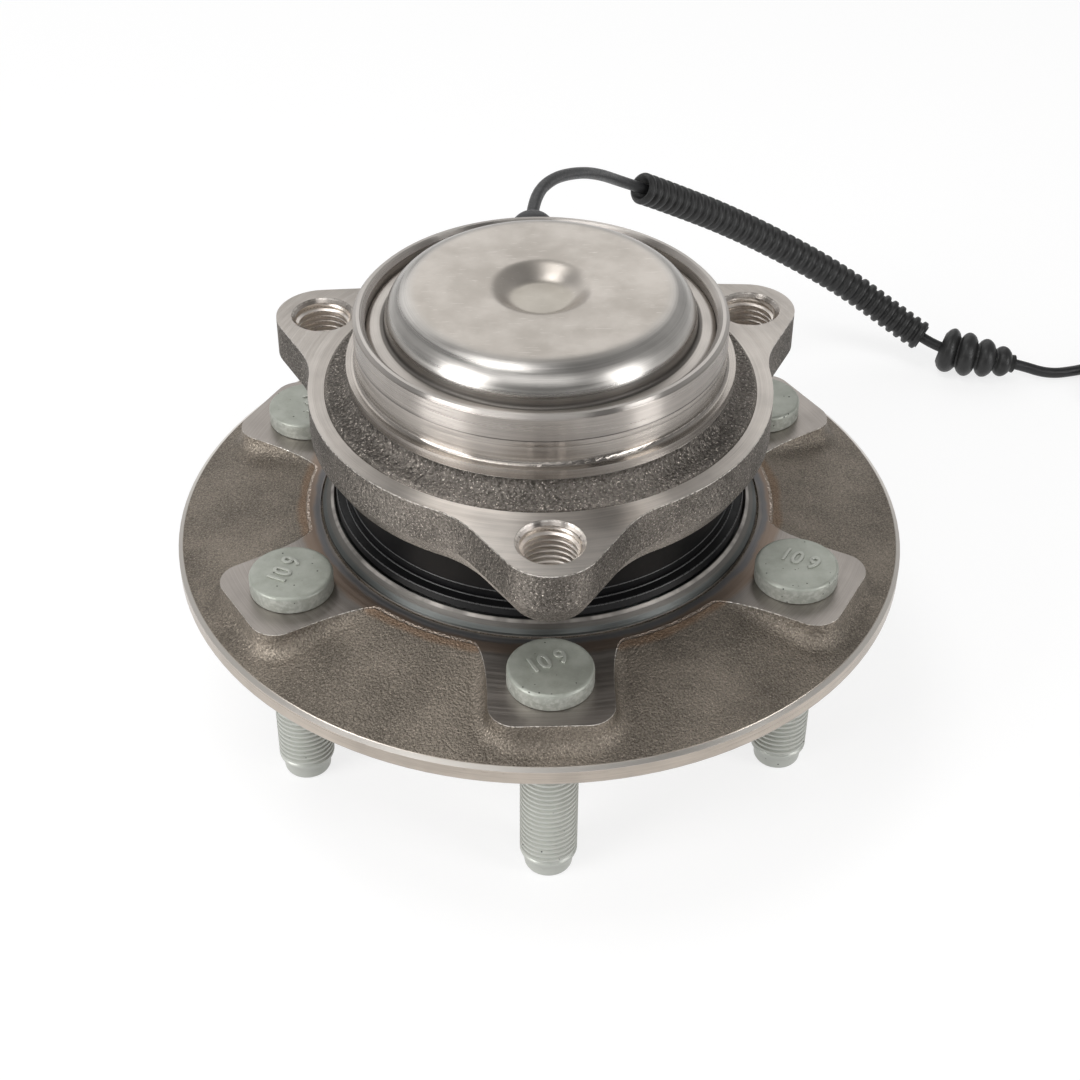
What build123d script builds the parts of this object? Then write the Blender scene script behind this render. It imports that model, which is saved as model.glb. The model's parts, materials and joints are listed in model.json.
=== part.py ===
from build123d import *
import math
import os

# Flanged wheel hub bearing for a six-stud light truck: a spindle with a wheel flange turns in a
# double-row angular contact ball bearing, whose outer ring bolts to the steering knuckle.
# Millimetres. Heights are given from the wheel face and the finished pieces are lifted by the
# studs' reach, so that the part stands on its stud tips at z = 0. The spin axis is Z.

# Wheel flange
flange_diameter = 183.0
rim_height = 3.5
rim_chamfer = 0.7
rim_chamfer_width = 1.1
land_height = 11.0
land_lip = 3.2
pad_width = 28.8
pad_inset = 7.1
pad_corner = 6.5
pad_draft = 8.0
pad_foot_fillet = 4.0

# Wheel pilot and the forged recess inside it
pilot_diameter = 78.0
pilot_length = 13.0
recess_mouth_radius = 31.0
recess_floor_radius = 18.0
recess_floor = 17.0
face_relief = 0.8

# Wheel studs
stud_circle = 139.7
stud_count = 6
stud_diameter = 14.0
stud_reach = 48.4
stud_head_diameter = 20.1
stud_head_height = 4.6
knurl_diameter = 15.2
knurl_bite = 0.05
point_diameter = 11.4
point_start = 42.0
point_taper_start = 37.0

# Bearing rows
ball_diameter = 12.7
pitch_diameter = 68.0
ball_count = 14
outboard_row = 24.5
inboard_row = 53.5
race_clearance = 0.25
inner_shoulder_radius = 31.6
outer_land_radius = 37.0
outer_open_radius = 41.3
cage_width = 3.6
cage_reach = 3.6
cage_back = 8.1
pocket_clearance = 0.2

# Spindle and inner ring
seal_seat_radius = 33.5
seal_seat_top = 17.3
waist_radius = 29.5
spindle_radius = 22.5
ring_seat = 46.0
inner_ring_width = 17.0
formed_head_height = 3.0
formed_head_radius = 28.0
centre_bore_radius = 11.0
centre_bore_floor = 57.0

# Outer ring: knuckle spigot, mounting flange and seal seat
spigot_diameter = 89.3
spigot_top = 66.1
spigot_chamfer = 0.85
spigot_lip = 43.0
spigot_foot = 53.2
ledge_radius = 46.85
ledge_bottom = 50.85
waist_groove_radius = 46.2
face_inner_radius = 52.5
knuckle_face = 45.75
mount_flange_radius = 56.4
mount_circle = 125.5
mount_count = 3
mount_bore = 14.0
mount_chamfer = 0.95
ear_radius = 11.8
ear_flank_angle = 33.0
ear_blend = 24.0
ear_side = 10.2
ear_underside = 5.4
underside_draft = 30.0
seal_end = 17.0
seal_seat_outer = 46.0

# End cap
sheet = 1.5
cap_top = 72.3
cap_wall_radius = 36.2
cap_base_radius = 37.3
cap_shoulder = 8.0
cap_flange_height = 63.5
cap_seat_radius = 41.8
cap_skirt_bottom = 57.4
dimple_radius = 8.1
dimple_mouth = 12.4
dimple_depth = 3.2

# Seals, slinger and encoder
case_sheet = 1.0
case_bore_gap = 2.5
case_collar = 9.5
lip_reach = 3.8
lip_gap = 0.3
slinger_sheet = 0.8
slinger_overhang = 1.5
channel_floor = 12.0
channel_play = 3.1
shoulder_width = 3.3
encoder_height = 39.6
encoder_width = 7.8
encoder_radius = 35.6
encoder_thickness = 1.4

# Wheel-speed sensor
sensor_bore = 9.3
sensor_fit = 0.1
sensor_tip_radius = 36.4
sensor_seat = 54.8
sensor_plate = 5.0
sensor_plate_radius = 6.8
sensor_neck = 6.3
sensor_play = 0.1
sensor_dome_rise = 11.6
sensor_outlet_wall = 0.9
sensor_flat_margin = 2.2
screw_offset = 13.0
screw_diameter = 5.0
screw_length = 14.0
screw_head_diameter = 9.0
screw_head_height = 4.0
screw_socket_radius = 2.3
screw_socket_depth = 2.4
bushing_wall = 1.2
o_ring_section = 1.6
o_ring_depth = 2.0

# Sensor lead: cable, corrugated conduit, bellows grommet, coil and connector
cable_diameter = 3.4
conduit_diameter = 9.8
conduit_play = 0.3
lead_length = 570.0
grommet_humps = [7.4, 7.2, 6.3, 5.0]
grommet_pitch = 5.8
coil_radius = 19.0
coil_turns_wide = 2
coil_centre = (204.0, 124.0)
tie_thickness = 1.0
tie_width = 3.0
tail_start = 9.0
tail_length = 10.5
seal_length = 4.0
plug_width = 16.0
plug_height = 11.0
plug_length = 26.0
plug_wall = 1.8
plug_socket_depth = 13.0
latch_height = 1.9
latch_length = 7.0
latch_width = 5.0
key_width = 1.2
key_height = 4.0
key_length = 9.0
pin_spacing = 5.2
pin_width = 1.5
pin_thickness = 0.8
pin_length = 6.0

# The lead's route, chosen by hand: out of the sensor, over in an arch, down to the floor
bare_route = [
    (0.0, 68.6, 51.4),
    (1.1, 80.7, 51.6),
    (6.5, 94.6, 49.5),
    (14.3, 108.0, 44.0),
    (21.2, 120.0, 37.0),
    (29.0, 133.6, 27.0),
]
conduit_route = [
    (42.1, 142.6, 17.5),
    (69.0, 153.9, 0.0),
    (103.3, 157.8, -22.0),
    (125.5, 149.3, -36.0),
]
floor_route = [
    (136.5, 142.9, -41.0),
    (150.3, 137.5, -41.2),
    (161.7, 137.9, -44.2),
    (171.5, 135.8, -46.7),
    (181.0, 137.4, -46.7),
    (188.5, 140.2, -46.7),
]
lead_route = bare_route + conduit_route + floor_route

ball_radius = ball_diameter / 2
pitch_radius = pitch_diameter / 2
flange_radius = flange_diameter / 2
pilot_radius = pilot_diameter / 2
spigot_radius = spigot_diameter / 2
stud_angles = [-90 + 360 / stud_count * i for i in range(stud_count)]
ear_angles = [-90 + 360 / mount_count * i for i in range(mount_count)]
floor = -stud_reach

# Radii that follow one another outwards: seal case, slinger, hub shoulder, land and pads
case_bore_radius = seal_seat_radius + slinger_sheet + case_bore_gap
case_outer = seal_seat_outer + case_sheet
slinger_radius = case_outer + slinger_overhang
shoulder_radius = slinger_radius + channel_play + shoulder_width
land_radius = shoulder_radius + land_lip
pad_reach = flange_radius - pad_inset
rim_top = rim_height + rim_chamfer
rim_edge_radius = flange_radius - rim_chamfer_width
sensor_tower = sensor_seat + sensor_neck + sensor_play
sensor_dome_height = encoder_height + sensor_dome_rise
bushing_radius = screw_diameter / 2 + bushing_wall


def turned(*corners):
    """A solid of revolution from (radius, height) corners, each with an optional rounding."""
    points = [(corner[0], corner[1]) for corner in corners]
    rounding = [corner[2] if len(corner) > 2 else 0 for corner in corners]
    outline = make_face(FilletPolyline(*points, radius=rounding, close=True))
    return revolve(Plane.XZ * outline, Axis.Z)


def around(angles, radius, height=0):
    """Places on a circle about the spin axis, each with its x axis pointing outwards."""
    return [Rot(0, 0, angle) * Pos(radius, 0, height) for angle in angles]


def raceway(row):
    """The groove that a row of balls runs in, as the ring-shaped space it takes."""
    return Pos(0, 0, row) * Torus(pitch_radius, ball_radius + race_clearance)


def rod(start, end, radius):
    """A round bar between two points."""
    axis = Vector(*end) - Vector(*start)
    return Plane(origin=start, z_dir=axis) * extrude(Circle(radius), axis.length)


def flange_level(radius):
    """Height of the forged flange's sloping top, which falls from the land to the rim."""
    slope = (land_height - rim_top) / (rim_edge_radius - land_radius)
    return rim_top + (rim_edge_radius - radius) * slope


def make_forging():
    """The flange's top as forged: six drafted stud bosses that run into the slope by fillets."""
    centre = pad_width / 2
    outer = flange_radius + pad_inset
    slope = turned(
        (0, 0),
        (outer, 0),
        (outer, flange_level(outer)),
        (centre, flange_level(centre)),
        (0, flange_level(centre)),
    )
    crown = flange_level(centre) + 2 * pad_foot_fillet
    shrink = (crown - land_height) * math.tan(math.radians(pad_draft))
    reach = pad_reach - shrink
    bosses = Circle(centre)
    for place in around(stud_angles, reach / 2):
        bosses += place * Rectangle(reach, pad_width - 2 * shrink)
    tips = [v for v in bosses.vertices() if math.hypot(v.X, v.Y) > reach - 1]
    bosses = fillet(tips, pad_corner - shrink)
    roots = [v for v in bosses.vertices() if math.hypot(v.X, v.Y) < pad_width]
    bosses = fillet(roots, 2 * pad_foot_fillet)
    forging = slope + extrude(Pos(0, 0, crown) * bosses, -crown, taper=-pad_draft)
    foot = []
    for edge in forging.edges():
        spots = [edge @ share for share in (0, 0.5, 1)]
        on_slope = all(abs(spot.Z - flange_level(math.hypot(spot.X, spot.Y))) < 0.02 for spot in spots)
        if on_slope and math.hypot(spots[1].X, spots[1].Y) < outer - 1:
            foot.append(edge)
    return fillet(foot, pad_foot_fillet)


def make_hub():
    """Spindle, wheel flange, stud pads, pilot and the inner race of the outboard row."""
    ridge_inner = shoulder_radius - shoulder_width
    head_top = ring_seat + inner_ring_width + formed_head_height
    body = turned(
        (0, recess_floor),
        (recess_floor_radius, recess_floor, 5),
        (recess_mouth_radius, 1.5 - pilot_length, 3),
        (recess_mouth_radius + 1.5, -pilot_length),
        (pilot_radius - 1.2, -pilot_length),
        (pilot_radius, 1.2 - pilot_length),
        (pilot_radius, face_relief, 0.6),
        (pilot_radius + 3, face_relief),
        (pilot_radius + 4, 0),
        (flange_radius, 0),
        (flange_radius, rim_height),
        (rim_edge_radius, rim_top),
        (rim_edge_radius, land_height),
        (shoulder_radius + 0.5, land_height),
        (shoulder_radius + 0.3, land_height - 0.5),
        (shoulder_radius, land_height - 0.5),
        (shoulder_radius - 0.2, land_height + 0.7),
        (shoulder_radius - 1.1, land_height + 1.5, 0.4),
        (ridge_inner + 0.3, land_height + 2.9),
        (ridge_inner, land_height + 2.6),
        (ridge_inner, channel_floor),
        (seal_seat_radius, channel_floor),
        (seal_seat_radius, seal_seat_top),
        (inner_shoulder_radius, seal_seat_top + 0.7),
        (inner_shoulder_radius, outboard_row),
        (waist_radius, outboard_row),
        (waist_radius, ring_seat - 1),
        (waist_radius - 1, ring_seat),
        (spindle_radius, ring_seat),
        (spindle_radius, head_top - formed_head_height),
        (formed_head_radius, head_top - formed_head_height, 0.8),
        (formed_head_radius - 1, head_top - 0.5, 2),
        (centre_bore_radius + 4, head_top, 2),
        (centre_bore_radius, centre_bore_floor, 2),
        (0, centre_bore_floor),
    )
    stock = turned(
        (land_radius - 1, 0),
        (flange_radius + 1, 0),
        (flange_radius + 1, land_height + 1),
        (land_radius - 1, land_height + 1),
    )
    body -= stock - make_forging()
    for place in around(stud_angles, stud_circle / 2):
        body -= place * Cylinder(knurl_diameter / 2 - knurl_bite, 4 * land_height)
    return body - raceway(outboard_row)


def make_stud(place):
    """Pressed-in wheel stud: domed-edge head, knurl, shank and a narrow lead-in point."""
    radius = stud_diameter / 2
    head = stud_head_diameter / 2
    stud = turned(
        (0, land_height + stud_head_height),
        (head, land_height + stud_head_height, 0.8),
        (head, land_height, 0.3),
        (knurl_diameter / 2, land_height),
        (knurl_diameter / 2, 1.0),
        (radius, 0),
        (radius, -point_taper_start),
        (point_diameter / 2, -point_start),
        (point_diameter / 2, floor, 1.2),
        (0, floor),
    )
    return place * stud


def make_inner_ring():
    """Separate inboard inner ring, held by the spindle's formed head."""
    top = ring_seat + inner_ring_width
    ring = turned(
        (spindle_radius, ring_seat),
        (waist_radius - 1, ring_seat, 0.5),
        (waist_radius - 1, inboard_row),
        (inner_shoulder_radius, inboard_row),
        (inner_shoulder_radius, top, 0.8),
        (spindle_radius, top),
    )
    return ring - raceway(inboard_row)


def ear_outline():
    """Round mounting flange with three rounded ears and concave blends between them."""
    flank = math.radians(ear_flank_angle)
    hole = mount_circle / 2
    touch_x = hole + ear_radius * math.sin(flank)
    touch_y = ear_radius * math.cos(flank)
    run = (touch_x - mount_flange_radius / 2) / math.cos(flank)
    root_y = touch_y + run * math.sin(flank)
    ear = make_face(
        Polyline(
            (touch_x, touch_y),
            (mount_flange_radius / 2, root_y),
            (mount_flange_radius / 2, -root_y),
            (touch_x, -touch_y),
            close=True,
        )
    )
    ear += Pos(hole, 0) * Circle(ear_radius)
    outline = Circle(mount_flange_radius)
    for place in around(ear_angles, 0):
        outline += place * ear
    roots = [
        v for v in outline.vertices()
        if abs(math.hypot(v.X, v.Y) - mount_flange_radius) < 0.01
    ]
    return fillet(roots, ear_blend)


def make_outer_ring():
    """Stationary ring: both outer races, knuckle spigot, mounting ears and sensor seat."""
    body = turned(
        (0, spigot_top),
        (spigot_radius - spigot_chamfer, spigot_top),
        (spigot_radius, spigot_top - spigot_chamfer),
        (spigot_radius, spigot_foot, 0.9),
        (ledge_radius, spigot_foot),
        (ledge_radius, ledge_bottom),
        (waist_groove_radius, ledge_bottom - 0.6),
        (waist_groove_radius + 0.8, knuckle_face + 1.2, 3),
        (face_inner_radius - 0.9, knuckle_face + 1.0),
        (face_inner_radius, knuckle_face),
        (face_inner_radius, knuckle_face - ear_side - ear_underside, 1.0),
        (seal_seat_outer, seal_end + case_collar + 1.5, 1.2),
        (seal_seat_outer, seal_end),
        (0, seal_end),
    )
    outline = ear_outline()
    side = extrude(Pos(0, 0, knuckle_face) * outline, -ear_side)
    under = extrude(Pos(0, 0, knuckle_face - ear_side) * outline, -ear_underside, taper=underside_draft)
    body += side + under
    body -= turned(
        (0, seal_end - 1),
        (outer_open_radius, seal_end - 1),
        (outer_open_radius, outboard_row),
        (outer_land_radius, outboard_row),
        (outer_land_radius, inboard_row),
        (outer_open_radius, inboard_row),
        (outer_open_radius, cap_skirt_bottom - 0.3),
        (cap_seat_radius, cap_skirt_bottom),
        (cap_seat_radius, spigot_top - 1.1),
        (spigot_lip, spigot_top),
        (spigot_lip, spigot_top + 1),
        (0, spigot_top + 1),
    )
    body -= raceway(outboard_row) + raceway(inboard_row)
    bore = mount_bore / 2
    tool = turned(
        (0, knuckle_face + 1),
        (bore + mount_chamfer + 1, knuckle_face + 1),
        (bore + mount_chamfer, knuckle_face),
        (bore, knuckle_face - mount_chamfer),
        (bore, knuckle_face - 2 * ear_side),
        (0, knuckle_face - 2 * ear_side),
    )
    for place in around(ear_angles, mount_circle / 2):
        body -= place * tool
    flat_width = 2 * (screw_offset + sensor_plate_radius + sensor_flat_margin)
    flat = Box(flat_width, mount_flange_radius, knuckle_face, align=(Align.CENTER, Align.MIN, Align.MAX))
    body -= Pos(0, sensor_seat, knuckle_face + 1) * flat
    body -= rod((0, 0, encoder_height), (0, sensor_seat + 1, encoder_height), sensor_bore / 2)
    screw_hole = (screw_offset, sensor_seat - screw_length + sensor_plate - 1, encoder_height)
    return body - rod(screw_hole, (screw_offset, sensor_seat + 1, encoder_height), screw_diameter / 2)


def make_balls(row):
    """One row of balls, as separate solids."""
    angles = [360 / ball_count * i for i in range(ball_count)]
    return Compound(children=[place * Sphere(ball_radius) for place in around(angles, pitch_radius, row)])


def make_cage(row, back):
    """Snap-in crown cage: a ring behind the balls, with fingers between them."""
    low, high = sorted((row - back * cage_reach, row + back * cage_back))
    cage = turned(
        (pitch_radius - cage_width / 2, low),
        (pitch_radius + cage_width / 2, low),
        (pitch_radius + cage_width / 2, high),
        (pitch_radius - cage_width / 2, high),
    )
    for i in range(ball_count):
        pocket = Sphere(ball_radius + pocket_clearance)
        cage -= Rot(0, 0, 360 / ball_count * i) * Pos(pitch_radius, 0, row) * pocket
    return cage


def make_end_cap():
    """Pressed sheet cap: dimpled dome, flat flange and a skirt that presses into the spigot."""
    dimple = cap_top - dimple_depth
    return turned(
        (0, dimple),
        (dimple_radius, dimple, 1.2),
        (dimple_mouth, cap_top, 2.6),
        (cap_wall_radius, cap_top, cap_shoulder),
        (cap_base_radius, cap_flange_height, 0.6),
        (cap_seat_radius, cap_flange_height, 1.8),
        (cap_seat_radius, cap_skirt_bottom),
        (cap_seat_radius - sheet, cap_skirt_bottom),
        (cap_seat_radius - sheet, cap_flange_height - sheet, 0.5),
        (cap_base_radius - sheet, cap_flange_height - sheet, 1.6),
        (cap_wall_radius - sheet, cap_top - sheet, cap_shoulder - sheet),
        (dimple_mouth + sheet / 2, cap_top - sheet, 1.4),
        (dimple_radius + sheet / 2, dimple - sheet, 2.4),
        (0, dimple - sheet),
    )


def make_seal_case():
    """Steel case pressed over the outboard end of the outer ring."""
    return turned(
        (case_bore_radius, seal_end - case_sheet),
        (case_outer, seal_end - case_sheet, 0.8),
        (case_outer, seal_end + case_collar),
        (seal_seat_outer, seal_end + case_collar),
        (seal_seat_outer, seal_end),
        (case_bore_radius, seal_end),
    )


def make_seal_lip():
    """Moulded rubber on the case, with an outer flare and two lips towards the slinger."""
    case_face = seal_end - case_sheet
    flare = case_outer + lip_reach
    tip = channel_floor + slinger_sheet + lip_gap
    return turned(
        (case_outer, seal_end + case_collar),
        (case_outer + 0.9, seal_end + case_collar, 0.3),
        (case_outer + 1.2, seal_end - 0.4),
        (flare, seal_end - 1.0),
        (flare + 0.5, seal_end - 2.8),
        (slinger_radius - 0.5, tip),
        (slinger_radius - 1.1, tip),
        (slinger_radius - 1.5, case_face - 1.0, 0.4),
        (case_bore_radius + 3.6, case_face - 1.0, 0.4),
        (case_bore_radius + 3.0, tip),
        (case_bore_radius + 2.4, tip),
        (case_bore_radius + 1.4, case_face - 1.2, 0.4),
        (seal_seat_radius + slinger_sheet + lip_gap, case_face - 1.8),
        (seal_seat_radius + slinger_sheet + lip_gap, case_face - 1.2),
        (case_bore_radius, case_face),
        (case_outer, case_face, 0.8),
    )


def make_slinger():
    """Stainless ring on the spindle that the lips run against."""
    return turned(
        (seal_seat_radius, channel_floor),
        (slinger_radius, channel_floor),
        (slinger_radius, channel_floor + slinger_sheet),
        (seal_seat_radius + slinger_sheet, channel_floor + slinger_sheet, 0.4),
        (seal_seat_radius + slinger_sheet, seal_seat_top - 1.5),
        (seal_seat_radius, seal_seat_top - 1.5),
    )


def make_encoder_carrier():
    """Folded steel ring pressed on the spindle between the rows."""
    low = encoder_height - encoder_width / 2
    high = encoder_height + encoder_width / 2
    outer = encoder_radius - encoder_thickness
    t = slinger_sheet
    return turned(
        (waist_radius, low),
        (waist_radius + t, low),
        (waist_radius + t, high - t, 0.4),
        (outer - t, high - t, 0.4),
        (outer - t, low),
        (outer, low),
        (outer, high),
        (waist_radius, high),
    )


def make_encoder_ring():
    """Magnetic rubber band that the sensor reads."""
    low = encoder_height - encoder_width / 2
    outer = encoder_radius
    inner = encoder_radius - encoder_thickness
    return turned(
        (inner, low),
        (outer, low, 0.3),
        (outer, low + encoder_width, 0.3),
        (inner, low + encoder_width),
    )


def make_sensor():
    """Moulded wheel-speed sensor: probe, bolting plate and a domed elbow for the cable."""
    probe = rod(
        (0, sensor_tip_radius, encoder_height),
        (0, sensor_seat + 1, encoder_height),
        sensor_bore / 2 - sensor_fit / 2,
    )
    groove_start = (0, sensor_seat - o_ring_depth - o_ring_section, encoder_height)
    groove_end = (0, sensor_seat - o_ring_depth, encoder_height)
    groove = rod(groove_start, groove_end, sensor_bore / 2 + 1)
    groove -= rod(groove_start, groove_end, sensor_bore / 2 - o_ring_section)
    plate_plane = Plane(origin=(0, sensor_seat, encoder_height), x_dir=(1, 0, 0), z_dir=(0, 1, 0))
    plate = SlotCenterToCenter(screw_offset, 2 * sensor_plate_radius)
    sensor = probe - groove + extrude(plate_plane * Pos(screw_offset / 2, 0) * plate, sensor_plate)
    tower = Pos(0, sensor_tower, encoder_height) * Cylinder(
        sensor_neck, sensor_dome_height - encoder_height, align=(Align.CENTER, Align.CENTER, Align.MIN)
    )
    sensor += tower
    sensor += Pos(0, sensor_tower, sensor_dome_height) * Sphere(sensor_neck)
    sensor += Pos(0, sensor_tower, encoder_height) * Sphere(sensor_neck)
    centre = (0, sensor_tower, sensor_dome_height)
    sensor += rod(centre, lead_route[0], cable_diameter / 2 + sensor_outlet_wall)
    eyelet_start = (screw_offset, sensor_seat - 1, encoder_height)
    eyelet_end = (screw_offset, sensor_seat + sensor_plate + 1, encoder_height)
    return sensor - rod(eyelet_start, eyelet_end, bushing_radius)


def make_bushing():
    """Metal sleeve in the sensor's eyelet."""
    start = (screw_offset, sensor_seat, encoder_height)
    end = (screw_offset, sensor_seat + sensor_plate, encoder_height)
    return rod(start, end, bushing_radius) - rod(start, end, screw_diameter / 2)


def make_screw():
    """Socket-head screw that holds the sensor."""
    seat = (screw_offset, sensor_seat + sensor_plate, encoder_height)
    tip = (screw_offset, sensor_seat + sensor_plate - screw_length, encoder_height)
    crown = (screw_offset, sensor_seat + sensor_plate + screw_head_height, encoder_height)
    screw = rod(tip, seat, screw_diameter / 2) + rod(seat, crown, screw_head_diameter / 2)
    socket = extrude(RegularPolygon(screw_socket_radius, 6), screw_socket_depth)
    return screw - Plane(origin=crown, z_dir=(0, -1, 0)) * socket


def make_o_ring():
    """Rubber ring in the probe's groove."""
    groove_middle = sensor_seat - o_ring_depth - o_ring_section / 2
    place = Plane(origin=(0, groove_middle, encoder_height), z_dir=(0, 1, 0))
    return place * Torus(sensor_bore / 2 - o_ring_section / 2, o_ring_section / 2 - 0.02)


def corner_radii(points):
    """The largest even arc at each corner: 0.45 of the shorter run on either side of it."""
    radii = []
    for before, here, after in zip(points, points[1:], points[2:]):
        arriving = Vector(*here) - Vector(*before)
        leaving = Vector(*after) - Vector(*here)
        turn = math.radians(arriving.get_angle(leaving))
        radii.append(0.45 * min(arriving.length, leaving.length) / math.tan(turn / 2))
    return radii


def between(a, b, share):
    """A point part of the way from one point to another."""
    return tuple(p + (q - p) * share for p, q in zip(a, b))


def tube(path, outer, inner=0):
    """A round tube, or a solid cord, along a path of lines and arcs."""
    section = Circle(outer) - Circle(inner) if inner else Circle(outer)
    return sweep(Plane(origin=path @ 0, z_dir=path % 0) * section, path=path)


def make_cable():
    """The cable from the sensor to the coil."""
    radii = corner_radii(lead_route)
    path = FilletPolyline(*lead_route, radius=radii)
    cable = tube(path, cable_diameter / 2)
    print("cable radii", [round(radius, 1) for radius in radii], "length", round(path.length, 1))
    plain_volume = path.length * math.pi * cable_diameter**2 / 4
    print("cable volume over section times length", round(cable.volume / plain_volume, 4))
    turns = (lead_length - path.length - tail_length) / (2 * math.pi * coil_radius)
    print("turns in the coil", round(turns, 2))
    return cable


def make_conduit():
    """Conduit over the middle of the cable, on the same lines and arcs."""
    corners = [bare_route[-1]] + conduit_route + [floor_route[0]]
    start = between(bare_route[-1], conduit_route[0], 0.5)
    end = between(conduit_route[-1], floor_route[0], 0.55)
    path = FilletPolyline(start, *conduit_route, end, radius=corner_radii(corners))
    return tube(path, conduit_diameter / 2, cable_diameter / 2 + conduit_play)


def make_grommet():
    """Rubber bellows grommet: humps that shrink towards the cable's far side."""
    corners = [(cable_diameter / 2, 0), (grommet_humps[0] - 1.5, 0)]
    for i, hump in enumerate(grommet_humps):
        middle = grommet_pitch * (i + 0.5)
        corners.append((hump, middle - 1.6, 1.2))
        corners.append((hump, middle + 1.6, 1.2))
        corners.append((hump - 2.2, grommet_pitch * (i + 1)))
    corners.append((cable_diameter / 2, grommet_pitch * len(grommet_humps)))
    here = floor_route[0]
    along = Vector(*floor_route[1]) - Vector(*here)
    start = Vector(*here) + along.normalized() * 0.5
    return Plane(origin=start, z_dir=along) * turned(*corners)


def coil_section():
    """Half width and height of the wound coil's section."""
    return coil_turns_wide * cable_diameter / 2, cable_diameter * (1 + math.sqrt(3) / 2)


def make_coil():
    """Outer shape of the spare cable, wound up for storage."""
    half, height = coil_section()
    round_off = cable_diameter / 2
    ring = turned(
        (coil_radius - half, floor, round_off * 0.9),
        (coil_radius + half, floor, round_off * 0.9),
        (coil_radius + half, floor + height, round_off * 0.9),
        (coil_radius - half, floor + height, round_off * 0.9),
    )
    return Pos(*coil_centre, 0) * ring


def make_tie():
    """Strap round the coil's section, with its lock."""
    half, height = coil_section()
    play = 0.1
    width = 2 * (half + play + tie_thickness)
    tall = height + play + tie_thickness
    standing = (Align.CENTER, Align.CENTER, Align.MIN)
    band = Box(width, tie_width, tall, align=standing)
    band -= Box(2 * (half + play), 2 * tie_width, height + play, align=standing)
    lock = Pos(half + play + tie_thickness + 1.5, 0, tall / 2) * Box(3, tie_width + 1.4, 3.6)
    place = Pos(coil_centre[0], coil_centre[1], floor) * Rot(0, 0, -90) * Pos(coil_radius, 0, 0)
    return place * (band + lock)


def tail_line():
    """The ends of the short straight stretch from the coil to the plug."""
    half, height = coil_section()
    x = coil_centre[0] + coil_radius + half - cable_diameter / 2
    y = coil_centre[1] - tail_start
    return (x, y, floor + height - cable_diameter / 2), (x, y - tail_length, floor + plug_height / 2)


def make_tail():
    """The lead's last stretch, between the coil and the plug."""
    start, end = tail_line()
    return rod(start, end, cable_diameter / 2)


def make_connector():
    """Two-way plug housing with a socket, two pins, side keys and a latch ramp."""
    place = Plane(origin=tail_line()[1], x_dir=(1, 0, 0), z_dir=(0, -1, 0)).offset(seal_length)
    body = extrude(RectangleRounded(plug_width, plug_height, 3), plug_length)
    inner = RectangleRounded(plug_width - 2 * plug_wall, plug_height - 2 * plug_wall, 1.6)
    floor_at = plug_length - plug_socket_depth
    body -= Pos(0, 0, floor_at) * extrude(inner, plug_socket_depth)
    ramp = make_face(
        Polyline(
            (plug_height / 2 - 0.5, floor_at),
            (plug_height / 2 - 0.5 + latch_height, floor_at),
            (plug_height / 2 - 0.5, floor_at + latch_length),
            close=True,
        )
    )
    body += extrude(Plane.YZ * ramp, latch_width / 2, both=True)
    key = extrude(Rectangle(key_width, key_height), key_length)
    pin = extrude(Rectangle(pin_width, pin_thickness), pin_length)
    for side in (-1, 1):
        body += Pos(side * pin_spacing / 2, 0, floor_at) * pin
        body += Pos(side * (plug_width + key_width / 3) / 2, 0, key_width) * key
    return place * body


def make_connector_seal():
    """Rubber wire seal behind the plug."""
    cord = cable_diameter / 2
    seal = turned(
        (0, 0),
        (cord + 0.9, 0, 0.4),
        (cord + 1.5, seal_length / 2, 0.5),
        (cord + 1.5, seal_length),
        (0, seal_length),
    )
    return Plane(origin=tail_line()[1], x_dir=(1, 0, 0), z_dir=(0, -1, 0)) * seal


parts = {
    "hub": make_hub(),
    "inner_ring": make_inner_ring(),
    "outer_ring": make_outer_ring(),
    "outboard_balls": make_balls(outboard_row),
    "outboard_cage": make_cage(outboard_row, 1),
    "inboard_balls": make_balls(inboard_row),
    "inboard_cage": make_cage(inboard_row, -1),
    "end_cap": make_end_cap(),
    "seal_case": make_seal_case(),
    "seal_lip": make_seal_lip(),
    "slinger": make_slinger(),
    "encoder_carrier": make_encoder_carrier(),
    "encoder_ring": make_encoder_ring(),
    "speed_sensor": make_sensor(),
    "sensor_bushing": make_bushing(),
    "sensor_screw": make_screw(),
    "sensor_o_ring": make_o_ring(),
    "cable": make_cable(),
    "conduit": make_conduit(),
    "cable_grommet": make_grommet(),
    "cable_coil": make_coil(),
    "cable_tail": make_tail(),
    "coil_tie": make_tie(),
    "connector": make_connector(),
    "connector_seal": make_connector_seal(),
}
for number, stud_place in enumerate(around(stud_angles, stud_circle / 2), 1):
    parts[f"wheel_stud_{number}"] = make_stud(stud_place)

os.makedirs("parts", exist_ok=True)
for name, shape in parts.items():
    export_step(Pos(0, 0, stud_reach) * shape, f"parts/{name}.step")
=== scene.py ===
import json
import math

import bmesh
import bpy
from mathutils import Matrix, Vector


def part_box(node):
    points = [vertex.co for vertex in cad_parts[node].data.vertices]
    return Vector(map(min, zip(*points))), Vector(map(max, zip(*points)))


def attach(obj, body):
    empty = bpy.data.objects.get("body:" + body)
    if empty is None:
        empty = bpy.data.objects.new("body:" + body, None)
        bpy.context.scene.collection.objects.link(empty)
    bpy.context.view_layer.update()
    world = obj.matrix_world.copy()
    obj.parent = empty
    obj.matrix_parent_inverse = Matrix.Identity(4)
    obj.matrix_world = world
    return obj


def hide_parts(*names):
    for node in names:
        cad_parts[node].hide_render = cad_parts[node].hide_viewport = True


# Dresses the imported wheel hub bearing. Sizes are worked out in millimetres, and MM turns them into
# the frame's metres. The spin axis is Z, and the stud tips stand on the floor at height 0.

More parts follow.
